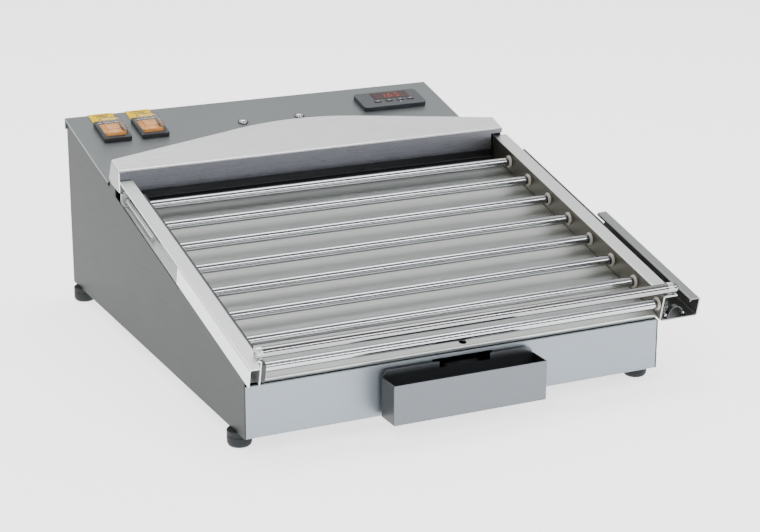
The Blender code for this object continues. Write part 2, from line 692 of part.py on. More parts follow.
# ---- heat ----------------------------------------------------------------------------------
def serpentine():
    """Route of the heating element under the bed plate: seven passes joined by half
    circles, with both ends led back through the baffle."""
    corner, half_pitch, passes = 0.012, 0.0225, 7
    first, last = 0.030, 0.030 + 2 * half_pitch * (passes - 1)
    route = [(ELEMENT_LEFT, ELEMENT_END)]
    route += arc_points((ELEMENT_LEFT + corner, first + corner), corner, 180, 270, 4)
    for index in range(passes - 1):
        towards_right = index % 2 == 0
        x_end = ELEMENT_RIGHT if towards_right else ELEMENT_LEFT + 0.030
        middle = first + half_pitch * (2 * index + 1)
        start, end = (-90, 90) if towards_right else (270, 90)
        route += arc_points((x_end, middle), half_pitch, start, end, 6)
    route += arc_points((ELEMENT_RIGHT - corner, last + corner), corner, 270, 360, 4)
    route.append((ELEMENT_RIGHT, ELEMENT_END))
    return [(x, y, ELEMENT_DEPTH) for x, y in route]


def build_heating_element():
    curve = bpy.data.curves.new("heating_element", 'CURVE')
    curve.dimensions = '3D'
    curve.bevel_depth = 0.0040
    curve.bevel_resolution = 1
    curve.use_fill_caps = True
    route = serpentine()
    spline = curve.splines.new('POLY')
    spline.points.add(len(route) - 1)
    for point, place in zip(spline.points, route):
        point.co = (*place, 1.0)
    mesh = mesh_from_curve("heating_element", curve)
    mesh.shade_smooth()
    mesh.set_sharp_from_angle(angle=math.radians(60))
    make_part("heating_element", mesh, BED, "element_alloy")


def build_heat_baffle():
    mesh = box_mesh("heat_baffle", (0.0152, 0.3268, FOOT_HEIGHT + SHEET + GAP),
                    (CASE_WIDTH - 0.0033, 0.3280, 0.1462))
    baffle = make_part("heat_baffle", mesh, CASE, "case_steel")
    bm = bmesh.new()
    for x in (ELEMENT_LEFT, ELEMENT_RIGHT):
        place = (Matrix.Translation((x, 0.330, ELEMENT_DEPTH))
                 @ Matrix.Rotation(math.pi / 2, 4, 'X'))
        bmesh.ops.create_cone(bm, cap_ends=True, segments=16, radius1=0.0050, radius2=0.0050,
                              depth=0.040, matrix=place)
    cut(baffle, make_cutter("element_holes", finish_mesh(bm, "element_holes"), BED))


def build_temperature_probe():
    bm = bmesh.new()
    place = Matrix.Translation((0.0085, 0.2960, -0.0102)) @ Matrix.Rotation(math.pi / 2, 4, 'X')
    bmesh.ops.create_cone(bm, cap_ends=True, segments=12, radius1=0.0025, radius2=0.0025,
                          depth=0.080, matrix=place)
    mesh = finish_mesh(bm, "temperature_probe", smooth=True)
    make_part("temperature_probe", mesh, BED, "bright_steel")


# ---- controls ------------------------------------------------------------------------------
def build_panel_screws():
    dome = arc_points((0.0, -0.0037), 0.0067, 90, 39, 6)
    profile = dome + [(0.0052, GAP), (0.0018, GAP), (0.0018, -0.0060), (0.0, -0.0060)]
    mesh = turned_mesh("panel_screw", profile)
    for name, x in zip(("panel_screw_left", "panel_screw_right"), SCREW_XS):
        make_part(name, mesh, PANEL, "chrome", (x, SCREW_Y, 0.0))


def build_switch(side, x):
    """Bezel with its body, a rocker on a cross axis, a clear splash cover and a label."""
    centre = (x, SWITCH_Y)
    bezel = make_part("switch_bezel_" + side,
                      outline_mesh("switch_bezel", [rounded_rectangle(centre, SWITCH_SIZE, 0.0015)],
                                   GAP, BEZEL_TOP), PANEL, "black_plastic")
    low, high = box_opening(centre, (0.0260, 0.0360))
    body = box_mesh("switch_body", (low[0], low[1], -0.0280), (high[0], high[1], 0.0020))
    join(bezel, make_cutter("switch_body_" + side, body, PANEL))
    low, high = box_opening(centre, ROCKER_OPENING)
    well = box_mesh("rocker_well", (low[0], low[1], -0.0070), (high[0], high[1], 0.0100))
    cut(bezel, make_cutter("rocker_well_" + side, well, PANEL))

    half = 0.0136
    outline = [(-half, 0.0050), (-half + 0.001, -0.0015), (-0.006, -0.0045), (0.006, -0.0045),
               (half - 0.001, -0.0015), (half, 0.0050), (0.0, 0.0022)]
    mesh = outline_mesh("rocker", [outline], -0.0103, 0.0103, SIDEWAYS)
    make_part("rocker_" + side, mesh, PANEL, "amber_plastic", (x, SWITCH_Y, 0.0005),
              (-ROCKER_TILT, 0.0, 0.0))

    bm = bmesh.new()
    base, top, height = (0.0240, 0.0304), (0.0217, 0.0277), 0.0074
    verts = add_box(bm, (-base[0] / 2, -base[1] / 2, 0.0), (base[0] / 2, base[1] / 2, height))
    for vert in verts:
        if vert.co.z > height / 2:
            vert.co.x *= top[0] / base[0]
            vert.co.y *= top[1] / base[1]
    bm.normal_update()
    bmesh.ops.delete(bm, geom=[f for f in bm.faces if f.normal.z < -0.9], context='FACES')
    cover = make_part("switch_cover_" + side, finish_mesh(bm, "switch_cover"), PANEL,
                      "clear_plastic", (x, SWITCH_Y, BEZEL_TOP + GAP))
    thicken(cover, 0.0008, offset=-1.0)

    label = box_mesh("switch_label", (x - 0.0137, -0.0205, GAP), (x + 0.0137, -0.0005, 0.0006))
    make_part("switch_label_" + side, label, PANEL, "label_yellow")


def build_controller():
    mesh = outline_mesh("controller_housing",
                        [rounded_rectangle(CONTROLLER_CENTRE, CONTROLLER_SIZE, 0.0040)],
                        GAP, BEZEL_TOP)
    housing = make_part("controller_housing", mesh, PANEL, "slate_plastic")
    low, high = box_opening(CONTROLLER_CENTRE, (0.0710, 0.0285))
    body = box_mesh("controller_body", (low[0], low[1], -0.0450), (high[0], high[1], 0.0020))
    join(housing, make_cutter("controller_body", body, PANEL))
    pockets = []
    clear = 2 * GAP
    low, high = box_opening(WINDOW_CENTRE, (WINDOW_SIZE[0] + clear, WINDOW_SIZE[1] + clear))
    pockets.append(((low[0], low[1], 0.0032), (high[0], high[1], 0.0100)))
    for x in BUTTON_XS:
        low, high = box_opening((x, BUTTON_Y), (BUTTON_SIZE[0] + clear, BUTTON_SIZE[1] + clear))
        pockets.append(((low[0], low[1], 0.0012), (high[0], high[1], 0.0100)))
    cut(housing, make_cutter("controller_pockets", boxes_mesh("controller_pockets", pockets),
                             PANEL))

    low, high = box_opening(WINDOW_CENTRE, WINDOW_SIZE)
    make_part("controller_window",
              box_mesh("controller_window", (low[0], low[1], 0.0035), (high[0], high[1], 0.0047)),
              PANEL, "display_red")
    half_x, half_y = BUTTON_SIZE[0] / 2, BUTTON_SIZE[1] / 2
    mesh = box_mesh("controller_button", (-half_x, -half_y, 0.0), (half_x, half_y, 0.0028))
    for index, x in enumerate(BUTTON_XS):
        make_part("controller_button_%d" % (index + 1), mesh, PANEL, "slate_plastic",
                  (x, BUTTON_Y, 0.0024))


def build_power_inlet():
    """Appliance inlet on the rear panel: flange outside, body inside, socket open."""
    mesh = box_mesh("power_inlet", (0.3560, CASE_DEPTH + GAP, 0.0360),
                    (0.4040, CASE_DEPTH + 0.0023, 0.0640))
    inlet = make_part("power_inlet", mesh, CASE, "black_plastic")
    body = box_mesh("inlet_body", (0.3660, 0.4780, 0.0400), (0.3940, CASE_DEPTH + 0.0010, 0.0600))
    join(inlet, make_cutter("inlet_body", body, CASE))
    socket = box_mesh("inlet_socket", (0.3680, 0.4880, 0.0420), (0.3920, 0.5100, 0.0580))
    cut(inlet, make_cutter("inlet_socket", socket, CASE))


# ---- grease box and feet -----------------------------------------------------------------------
def build_grease_box():
    """Open box with a high back plate, whose hook drops behind the front panel's slot."""
    thickness = 0.0010
    mesh = open_box_mesh("grease_box", (BOX_LEFT, BOX_FRONT, BOX_BOTTOM),
                         (BOX_RIGHT, BOX_BACK, BOX_RIM), [(0, 0, 1)])
    box = make_part("grease_box", mesh, CASE, "bright_steel")
    round_bends(box, 0.0010, segments=2)
    thicken(box, thickness, offset=-1.0)
    corner = 0.0050
    left, right = BOX_LEFT + 0.0015, BOX_RIGHT - 0.0015
    outline = [(left, BOX_RIM - 0.004), (right, BOX_RIM - 0.004)]
    outline += arc_points((right - corner, BOX_PLATE_TOP - corner), corner, 0, 90, 4)
    outline += [(NOTCH_RIGHT, BOX_PLATE_TOP), (NOTCH_RIGHT, BOX_RIM - 0.0003),
                (NOTCH_LEFT, BOX_RIM - 0.0003), (NOTCH_LEFT, BOX_PLATE_TOP)]
    outline += arc_points((left + corner, BOX_PLATE_TOP - corner), corner, 90, 180, 4)
    upright = Matrix.Rotation(math.pi / 2, 4, 'X')
    plate = outline_mesh("box_back_plate", [outline], -BOX_BACK, -BOX_BACK + thickness, upright)
    join(box, make_cutter("box_back_plate", plate, CASE))
    hook_top = SLOT_BOTTOM + 0.0018
    profile = [(BOX_BACK - 0.0005, hook_top), (HOOK_REACH - 0.0006, hook_top),
               (HOOK_REACH - 0.0006, HOOK_DROP)]
    mesh = ribbon_mesh("box_hook", profile, 0.2000, 0.2340, 'x')
    hook = make_cutter("box_hook", mesh, CASE)
    thicken(hook, SHEET)
    join(box, hook)


def build_feet():
    top = FOOT_HEIGHT - GAP
    profile = [(0.0, top), (FOOT_RADIUS - 0.0008, top), (FOOT_RADIUS, top - 0.0008),
               (FOOT_RADIUS, 0.0060), (FOOT_RADIUS - 0.0008, 0.0025), (FOOT_RADIUS - 0.0026, 0.0),
               (0.0060, 0.0), (0.0050, 0.0012), (0.0, 0.0012)]
    mesh = turned_mesh("foot", profile, steps=20)
    right = CASE_WIDTH - FOOT_INSET_X
    places = {"front_left": (FOOT_INSET_X, FOOT_FRONT_Y), "front_right": (right, FOOT_FRONT_Y),
              "rear_left": (FOOT_INSET_X, FOOT_REAR_Y), "rear_right": (right, FOOT_REAR_Y)}
    for name, (x, y) in places.items():
        make_part("foot_" + name, mesh, CASE, "rubber", (x, y, 0.0))


# ---- build ------------------------------------------------------------------------------------
clear_scene()
PARTS = make_collection(NAME)
CUTTERS = make_collection(NAME + "_cutters")
CASE = make_frame("case_frame", (-ORIGIN_X, -ORIGIN_Y, 0.0))
BED = make_frame("bed_frame", BED_ORIGIN, BED_SLOPE, CASE)
PANEL = make_frame("panel_frame", PANEL_REAR, PANEL_SLOPE, CASE)

build_base_pan()
build_side_panels()
build_front_panel()
build_rear_panel()
build_control_panel()
build_hood()
build_bed_plate()
build_bearing_rails()
build_guard_rails()
build_bearing_strip()
build_stop_bar()
build_rollers()
build_bushings()
build_drive()
build_gearmotor()
build_heating_element()
build_heat_baffle()
build_temperature_probe()
build_panel_screws()
for switch_side, switch_x in zip(("left", "right"), SWITCH_CENTRES):
    build_switch(switch_side, switch_x)
build_controller()
build_power_inlet()
build_grease_box()
build_feet()
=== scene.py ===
"""Looks of the roller grill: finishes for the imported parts, finer pieces for the round and
moulded ones, studio light and the camera."""
import math

import bmesh
import bpy
from mathutils import Matrix, Vector


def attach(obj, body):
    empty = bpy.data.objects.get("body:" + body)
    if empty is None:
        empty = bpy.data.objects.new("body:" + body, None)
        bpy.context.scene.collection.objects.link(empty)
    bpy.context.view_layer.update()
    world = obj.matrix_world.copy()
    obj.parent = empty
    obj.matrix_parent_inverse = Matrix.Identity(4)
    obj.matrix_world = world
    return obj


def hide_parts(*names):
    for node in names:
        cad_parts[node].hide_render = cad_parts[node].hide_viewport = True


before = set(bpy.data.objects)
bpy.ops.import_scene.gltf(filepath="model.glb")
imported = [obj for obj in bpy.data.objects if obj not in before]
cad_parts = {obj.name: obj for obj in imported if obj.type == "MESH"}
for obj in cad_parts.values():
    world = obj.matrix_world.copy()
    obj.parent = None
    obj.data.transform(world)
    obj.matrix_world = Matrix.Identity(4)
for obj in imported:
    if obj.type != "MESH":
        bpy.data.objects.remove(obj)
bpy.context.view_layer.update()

# ---- places that the looks need, in metres ---------------------------------------------------
# Three local frames: CASE sits at the case's front left corner on the floor, BED on the axis of
# the front roller and along the bed's slope, PANEL at the control panel's rear edge and along
# its slope. The case's corner in the row frame is CASE_SHIFT.
CASE_SHIFT = Vector((-0.2332, -0.2373, 0.0))
BED_FRONT, BED_HEIGHT, BED_SLOPE = 0.0026, 0.0804, math.radians(13.7)
PANEL_REAR, PANEL_REAR_TOP, PANEL_SLOPE = 0.5056, 0.2002, math.radians(14.15)
CASE = Matrix.Translation(CASE_SHIFT)
BED = (Matrix.Translation(CASE_SHIFT + Vector((0.0, BED_FRONT, BED_HEIGHT)))
       @ Matrix.Rotation(BED_SLOPE, 4, 'X'))
PANEL = (Matrix.Translation(CASE_SHIFT + Vector((0.0, PANEL_REAR, PANEL_REAR_TOP)))
         @ Matrix.Rotation(PANEL_SLOPE, 4, 'X'))
UPRIGHT = Matrix.Rotation(-math.pi / 2, 4, 'Y')       # turns a lathed piece's x axis up

ROLLER_COUNT = 8
ROLLER_PITCH = 0.0435
ROLLER_RADIUS = 0.00475
ROLLER_START, ROLLER_END = 0.0200, 0.4255
JOURNAL_RADIUS = 0.0030
JOURNAL_START, JOURNAL_END = 0.0152, 0.4368
ROD_SEGMENTS = 112
SPROCKET_X, SPROCKET_WIDTH = 0.4334, 0.0018
SPROCKET_TIP, SPROCKET_ROOT, SPROCKET_TEETH = 0.0065, 0.0054, 12
CHAIN_RADIUS = 0.0079
CHAIN_X = 0.4343
RAIL_TOP, RAIL_FLOOR = 0.0122, -0.0130

HOOD_WIDTH = 0.4396
HOOD_FRONT, HOOD_FRONT_TOP, HOOD_FACE_BOTTOM = 0.3306, 0.1819, 0.1597
HOOD_SLOPE = math.radians(18.7)
HOOD_END_BACK, HOOD_TAPER, HOOD_CROWN_HALF = 0.3533, 0.2035, 0.070
HOOD_SKIRT_RUN = 0.012
HOOD_BEND, HOOD_SHEET = 0.0018, 0.0012
RAIL_NOTCH = ((0.4250, 0.315, -0.030), (0.4410, 0.3455, 0.0159))     # in the BED frame

SWITCHES = {"left": 0.0378, "right": 0.0798}
SWITCH_Y = -0.0450
ROCKER_TILT = math.radians(-7.0)
SCREWS = {"left": 0.1844, "right": 0.2513}
SCREW_Y = -0.0522
WINDOW_CENTRE, WINDOW_TOP = (0.3705, -0.0335), 0.0047
BUTTON_XS, BUTTON_Y, BUTTON_TOP = (0.3500, 0.3643, 0.3780, 0.3905), -0.0460, 0.0052
INDICATOR = (0.3768, -0.0510)
FEET = {"front_left": (0.006, 0.028), "front_right": (0.424, 0.028),
        "rear_left": (0.006, 0.484), "rear_right": (0.424, 0.484)}
FOOT_RADIUS, FOOT_HEIGHT = 0.0116, 0.0157

# Lathe profiles: (radius, height) points.
STUD = [(0.0, 0.0035), (0.0012, 0.0033), (0.0019, 0.0026), (0.0021, 0.0014), (0.0, 0.0014)]
SCREW_DOME = [(0.0, 0.0033), (0.0015, 0.0032), (0.0029, 0.0028), (0.0040, 0.0021),
              (0.0048, 0.0011), (0.0049, 0.0004), (0.0018, 0.0004), (0.0018, -0.0060),
              (0.0, -0.0060)]
# Thin black ring under a screw head: painted shadow round the head's rim.
SCREW_SHADOW_RING = [(0.0030, 0.0), (0.0060, 0.0), (0.0060, 0.0004), (0.0056, 0.0007),
                (0.0030, 0.0007)]

# Seven-segment digits: the lit bars of each digit that the display shows.
DISPLAY_TEXT = "165"
SEGMENTS = {"1": "bc", "6": "acdefg", "5": "acdfg"}


# ---- materials -------------------------------------------------------------------------------
EVEN = (1.0, 1.0, 1.0)            # the same texture scale along all three axes
STREAK_SCALE, STREAK_RATIO = 1200.0, 0.02
MARK_SCALE = 14.0
COLOUR_SPREAD = 0.03
MOULD_SCALE, PATCH_SCALE = 1800.0, 60.0
BUMP_DEPTH = 0.0001


def new_material(name):
    """A new material with its node tree and its Principled shader."""
    material = bpy.data.materials.new(name)
    material.use_nodes = True
    return material, material.node_tree, material.node_tree.nodes["Principled BSDF"]


def noise(tree, stretch, scale, detail=3.0):
    """Noise in the object's own coordinates, stretched along the axes."""
    coordinates = tree.nodes.new("ShaderNodeTexCoord")
    mapping = tree.nodes.new("ShaderNodeMapping")
    mapping.inputs["Scale"].default_value = stretch
    texture = tree.nodes.new("ShaderNodeTexNoise")
    texture.inputs["Scale"].default_value = scale
    texture.inputs["Detail"].default_value = detail
    tree.links.new(coordinates.outputs["Object"], mapping.inputs["Vector"])
    tree.links.new(mapping.outputs["Vector"], texture.inputs["Vector"])
    return texture.outputs["Fac"]


def spread(tree, source, low, high):
    """The middle of a noise output, mapped to the range from low to high."""
    node = tree.nodes.new("ShaderNodeMapRange")
    node.inputs["From Min"].default_value = 0.3
    node.inputs["From Max"].default_value = 0.7
    node.inputs["To Min"].default_value = low
    node.inputs["To Max"].default_value = high
    tree.links.new(source, node.inputs["Value"])
    return node.outputs["Result"]


def mix_colours(tree, factor, first, second):
    """The first colour where factor is 0, the second where it is 1."""
    node = tree.nodes.new("ShaderNodeMix")
    node.data_type = 'RGBA'
    node.inputs["A"].default_value = (*first, 1.0)
    node.inputs["B"].default_value = (*second, 1.0)
    tree.links.new(factor, node.inputs["Factor"])
    return node.outputs["Result"]


def add_bump(tree, shader, source, strength):
    bump = tree.nodes.new("ShaderNodeBump")
    bump.inputs["Strength"].default_value = strength
    bump.inputs["Distance"].default_value = BUMP_DEPTH
    tree.links.new(source, bump.inputs["Height"])
    tree.links.new(bump.outputs["Normal"], shader.inputs["Normal"])


def facing(tree, direction, low=0.80, high=0.97):
    """1 on faces that look along direction, 0 on the others, soft round a bend."""
    geometry = tree.nodes.new("ShaderNodeNewGeometry")
    dot = tree.nodes.new("ShaderNodeVectorMath")
    dot.operation = 'DOT_PRODUCT'
    dot.inputs[1].default_value = Vector(direction).normalized()
    tree.links.new(geometry.outputs["Normal"], dot.inputs[0])
    ramp = tree.nodes.new("ShaderNodeMapRange")
    ramp.inputs["From Min"].default_value = low
    ramp.inputs["From Max"].default_value = high
    tree.links.new(dot.outputs["Value"], ramp.inputs["Value"])
    return ramp.outputs["Result"]


def along_y(tree, start, end):
    """0 up to start and 1 from end on, along the object's own y."""
    coordinates = tree.nodes.new("ShaderNodeTexCoord")
    split = tree.nodes.new("ShaderNodeSeparateXYZ")
    ramp = tree.nodes.new("ShaderNodeMapRange")
    ramp.inputs["From Min"].default_value = start
    ramp.inputs["From Max"].default_value = end
    tree.links.new(coordinates.outputs["Object"], split.inputs["Vector"])
    tree.links.new(split.outputs["Y"], ramp.inputs["Value"])
    return ramp.outputs["Result"]


def brushed_steel(name, colour, grain, roughness, painted_shades=(), shadow=None, edge=1.0):
    """Satin stainless sheet: fine streaks along grain ('x' or 'y') that vary its colour and
    roughness, and faint handling marks. painted_shades are (direction, colour) pairs of
    painted shade: faces that look along direction are painted in that darker colour. shadow is
    (start, end, colour) of a painted shadow that darkens the sheet along y. edge is how bright
    reflections are at a glancing angle."""
    material, tree, shader = new_material(name)
    stretch = tuple(STREAK_RATIO if axis == grain else 1.0 for axis in "xyz")
    streaks = noise(tree, stretch, STREAK_SCALE, 2.0)
    marks = noise(tree, EVEN, MARK_SCALE, 4.0)
    light = tuple(min(1.0, channel * (1 + COLOUR_SPREAD)) for channel in colour)
    dark = tuple(channel * (1 - COLOUR_SPREAD) for channel in colour)
    factor = tree.nodes.new("ShaderNodeMath")
    factor.operation = 'MULTIPLY_ADD'
    factor.inputs[1].default_value = 0.5
    tree.links.new(spread(tree, streaks, 0.0, 1.0), factor.inputs[0])
    tree.links.new(spread(tree, marks, 0.0, 0.5), factor.inputs[2])
    surface = mix_colours(tree, factor.outputs["Value"], dark, light)
    # painted shade: faces that look along each direction take that darker colour
    for direction, painted_shade_colour in painted_shades:
        side_shaded = mix_colours(tree, facing(tree, direction), colour, painted_shade_colour)
        tree.links.new(surface, side_shaded.node.inputs["A"])
        surface = side_shaded
    # painted shadow: from start to end along y the colour darkens to the shadow colour
    if shadow:
        start, end, shadow_colour = shadow
        shadowed = mix_colours(tree, along_y(tree, start, end), colour, shadow_colour)
        tree.links.new(surface, shadowed.node.inputs["A"])
        surface = shadowed
    tree.links.new(surface, shader.inputs["Base Color"])
    tree.links.new(spread(tree, streaks, roughness - 0.02, roughness + 0.03),
                   shader.inputs["Roughness"])
    shader.inputs["Metallic"].default_value = 0.9
    shader.inputs["Specular Tint"].default_value = (edge, edge, edge, 1.0)
    add_bump(tree, shader, streaks, 0.015)
    return material


def chrome(name, colour, roughness):
    """Polished metal with a little haze that varies along it."""
    material, tree, shader = new_material(name)
    haze = noise(tree, (0.2, 1.0, 1.0), 30.0, 1.0)
    shader.inputs["Base Color"].default_value = (*colour, 1.0)
    shader.inputs["Metallic"].default_value = 1.0
    shader.inputs["Specular Tint"].default_value = (0.15, 0.15, 0.16, 1.0)
    tree.links.new(spread(tree, haze, roughness, roughness + 0.03), shader.inputs["Roughness"])
    return material


def moulded(name, colour, roughness, grain=0.10, gloss=0.5):
    """Moulded plastic, rubber or nylon: fine mould texture and slightly uneven gloss."""
    material, tree, shader = new_material(name)
    texture = noise(tree, EVEN, MOULD_SCALE, 2.0)
    patches = noise(tree, EVEN, PATCH_SCALE)
    lighter = tuple(min(1.0, channel * 1.15 + 0.004) for channel in colour)
    tree.links.new(mix_colours(tree, spread(tree, patches, 0.0, 1.0), colour, lighter),
                   shader.inputs["Base Color"])
    tree.links.new(spread(tree, patches, roughness - 0.05, roughness + 0.06),
                   shader.inputs["Roughness"])
    shader.inputs["Specular IOR Level"].default_value = gloss
    add_bump(tree, shader, texture, grain)
    return material


def lit_plastic(name, colour, glow, strength):
    """Glossy translucent plastic with a lamp behind it."""
    material, tree, shader = new_material(name)
    patches = noise(tree, EVEN, 90.0, 2.0)
    deeper = tuple(channel * 0.8 for channel in colour)
    tree.links.new(mix_colours(tree, spread(tree, patches, 0.0, 1.0), colour, deeper),
                   shader.inputs["Base Color"])
    tree.links.new(spread(tree, patches, 0.12, 0.22), shader.inputs["Roughness"])
    shader.inputs["Specular IOR Level"].default_value = 0.3
    shader.inputs["Emission Color"].default_value = (*glow, 1.0)
    shader.inputs["Emission Strength"].default_value = strength
    return material


def clear_plastic(name):
    """Thin clear film with a little uneven haze."""
    material, tree, shader = new_material(name)
    haze = noise(tree, EVEN, 120.0, 2.0)
    shader.inputs["Base Color"].default_value = (1.0, 1.0, 1.0, 1.0)
    shader.inputs["Transmission Weight"].default_value = 0.97
    shader.inputs["IOR"].default_value = 1.20
    tree.links.new(spread(tree, haze, 0.03, 0.10), shader.inputs["Roughness"])
    return material


FRONTWARD, LEFTWARD = (0.0, -1.0, 0.0), (-1.0, 0.0, 0.0)

SIDE_STEEL = brushed_steel("side_steel", (0.060, 0.065, 0.062), 'y', 0.42, edge=0.65)
FRONT_STEEL = brushed_steel("front_steel", (0.27, 0.305, 0.34), 'x', 0.40)
PANEL_STEEL = brushed_steel("panel_steel", (0.182, 0.196, 0.200), 'x', 0.42)
# painted shade: the hood's front face and its left end are painted darker than its top
HOOD_STEEL = brushed_steel("hood_steel", (0.88, 0.885, 0.89), 'x', 0.28,
                           painted_shades=[(FRONTWARD, (0.122, 0.126, 0.142)),
                                  (LEFTWARD, (0.22, 0.225, 0.215))])
# painted shadow: the bed darkens towards its upstand, under the hood's front edge
BED_STEEL = brushed_steel("bed_steel", (0.50, 0.52, 0.50), 'x', 0.30,
                          shadow=(0.068, 0.094, (0.050, 0.052, 0.055)))
RAIL_STEEL = brushed_steel("rail_steel", (0.72, 0.74, 0.73), 'y', 0.36)
# painted shade: faces of the right rail that look left, towards the rollers, are painted dark
# brown-grey
WALL_STEEL = brushed_steel("wall_steel", (0.60, 0.62, 0.605), 'y', 0.36,
                           painted_shades=[(LEFTWARD, (0.17, 0.16, 0.135))])
# painted shade: the grease box's faces that look left are painted darker
BOX_STEEL = brushed_steel("box_steel", (0.155, 0.165, 0.180), 'x', 0.34,
                          painted_shades=[(LEFTWARD, (0.070, 0.072, 0.068))])
ROLLER_CHROME = chrome("roller_chrome", (0.52, 0.53, 0.55), 0.10)
BAR_CHROME = chrome("bar_chrome", (0.36, 0.36, 0.37), 0.14)
SCREW_CHROME = chrome("screw_chrome", (0.55, 0.55, 0.56), 0.08)
# painted shade: the right guard rail's faces that look left are painted darker
GUARD_STEEL = brushed_steel("guard_steel", (0.24, 0.25, 0.255), 'y', 0.30,
                            painted_shades=[(LEFTWARD, (0.15, 0.145, 0.13))])
CHAIN_STEEL = brushed_steel("chain_steel", (0.20, 0.195, 0.19), 'x', 0.40)
BLACK = moulded("black_plastic", (0.020, 0.021, 0.024), 0.38)
SLATE = moulded("slate_plastic", (0.026, 0.031, 0.038), 0.40)
RUBBER = moulded("black_rubber", (0.012, 0.014, 0.016), 0.62, 0.25, 0.3)
IVORY = moulded("ivory_nylon", (0.36, 0.345, 0.30), 0.28)
MOTOR = moulded("motor_paint", (0.12, 0.125, 0.13), 0.45, 0.20)
ELEMENT = brushed_steel("element_sheath", (0.10, 0.095, 0.09), 'x', 0.50)
YELLOW = moulded("label_yellow", (0.88, 0.56, 0.0), 0.70, 0.03, 0.1)
PRINT = moulded("label_print", (0.03, 0.03, 0.03), 0.50, 0.03)
WHITE_PRINT = moulded("white_print", (0.75, 0.75, 0.72), 0.45, 0.03)
AMBER = lit_plastic("amber_plastic", (0.85, 0.33, 0.03), (1.0, 0.36, 0.04), 0.25)
DISPLAY = lit_plastic("display_window", (0.030, 0.004, 0.004), (0.9, 0.05, 0.02), 0.01)
DIGITS = lit_plastic("display_digits", (0.45, 0.05, 0.03), (1.0, 0.08, 0.04), 0.30)
CLEAR = clear_plastic("clear_cover")


def dress(material, *nodes):
    """Gives CAD nodes a material and leaves their meshes alone."""
    for node in nodes:
        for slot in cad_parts[node].material_slots:
            slot.link = 'OBJECT'
            slot.material = material


# ---- mesh helpers ----------------------------------------------------------------------------
SHARP_ANGLE = 35
ON_AXIS = 1e-7
WELD = 1e-6


def to_mesh(bm, name, place, smooth=True, angle=SHARP_ANGLE):
    """The finished mesh of bm, moved to its place; edges over angle degrees stay sharp."""
    bmesh.ops.recalc_face_normals(bm, faces=bm.faces)
    mesh = bpy.data.meshes.new(name)
    bm.to_mesh(mesh)
    bm.free()
    mesh.transform(place)
    if smooth:
        mesh.shade_smooth()
        mesh.set_sharp_from_angle(angle=math.radians(angle))
    return mesh


def piece(name, mesh, material, body="case", stands_for=()):
    """A new piece that rides on a body, and may stand for CAD nodes."""
    obj = bpy.data.objects.new(name, mesh)
    bpy.context.scene.collection.objects.link(obj)
    mesh.materials.append(material)
    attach(obj, body)
    if stands_for:
        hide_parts(*stands_for)
    return obj


def soften(obj, width, segments=2, angle=30):
    """Rounds the edges that bend by more than angle degrees."""
    bevel = obj.modifiers.new("soft_edges", 'BEVEL')
    bevel.width = width
    bevel.segments = segments
    bevel.limit_method = 'ANGLE'
    bevel.angle_limit = math.radians(angle)
    bevel.harden_normals = False


def add_lathe(bm, profile, segments=40):
    """A closed profile of (radius, along x) points turned about the local x axis."""
    turns = [2 * math.pi * i / segments for i in range(segments)]
    rings = []
    for radius, x in profile:
        if radius < ON_AXIS:
            rings.append([bm.verts.new((x, 0.0, 0.0))])
            continue
        rings.append([bm.verts.new((x, radius * math.cos(a), radius * math.sin(a)))
                      for a in turns])
    for first, second in zip(rings, rings[1:] + rings[:1]):
        if len(first) == 1 and len(second) == 1:
            continue
        for i in range(segments):
            j = (i + 1) % segments
            corners = [first[i % len(first)], first[j % len(first)],
                       second[j % len(second)], second[i % len(second)]]
            bm.faces.new(list(dict.fromkeys(corners)))


def lathe(name, profile, place, segments=40):
    bm = bmesh.new()
    add_lathe(bm, profile, segments)
    return to_mesh(bm, name, place)


def add_block(bm, low, high, place=Matrix()):
    """A box between two corners; the result is its vertices."""
    low, high = Vector(low), Vector(high)
    fit = Matrix.Translation((low + high) / 2) @ Matrix.Diagonal((*(high - low), 1.0))
    return bmesh.ops.create_cube(bm, size=1.0, matrix=place @ fit)["verts"]


def add_plate(bm, outline, low, high, to_3d):
    """A flat outline (u, v) between two depths; to_3d sets a point (u, v, depth)."""
    bottom = [bm.verts.new(to_3d(u, v, low)) for u, v in outline]
    top = [bm.verts.new(to_3d(u, v, high)) for u, v in outline]
    bm.faces.new(bottom)
    bm.faces.new(top[::-1])
    for i in range(len(outline)):
        j = (i + 1) % len(outline)
        bm.faces.new((bottom[i], bottom[j], top[j], top[i]))


def arc(centre, radius, start, end, steps):
    """Points on a circle from start to end, in degrees."""
    angles = [math.radians(start + (end - start) * i / steps) for i in range(steps + 1)]
    return [(centre[0] + radius * math.cos(a), centre[1] + radius * math.sin(a))
            for a in angles]


def sideways(u, v, depth):
    """An outline in (y, z), with its depth along x."""
    return (depth, u, v)


def bed_place(y, z=0.0):
    return BED @ Matrix.Translation((0.0, y, z))


# ---- hood ------------------------------------------------------------------------------------
def hood_back(x):
    """Back edge of the hood at x: straight tapers that meet in a rounded crown."""
    d = abs(x - HOOD_WIDTH / 2)
    if d > HOOD_CROWN_HALF:
        return HOOD_END_BACK + HOOD_TAPER * (HOOD_WIDTH / 2 - d)
    shoulder = HOOD_END_BACK + HOOD_TAPER * (HOOD_WIDTH / 2 - HOOD_CROWN_HALF)
    return shoulder + HOOD_TAPER * HOOD_CROWN_HALF / 2 * (1 - (d / HOOD_CROWN_HALF) ** 2)


def panel_height(y):
    """Height of the control panel's top face at y, in the CASE frame."""
    return PANEL_REAR_TOP - (PANEL_REAR - y) * math.tan(PANEL_SLOPE)


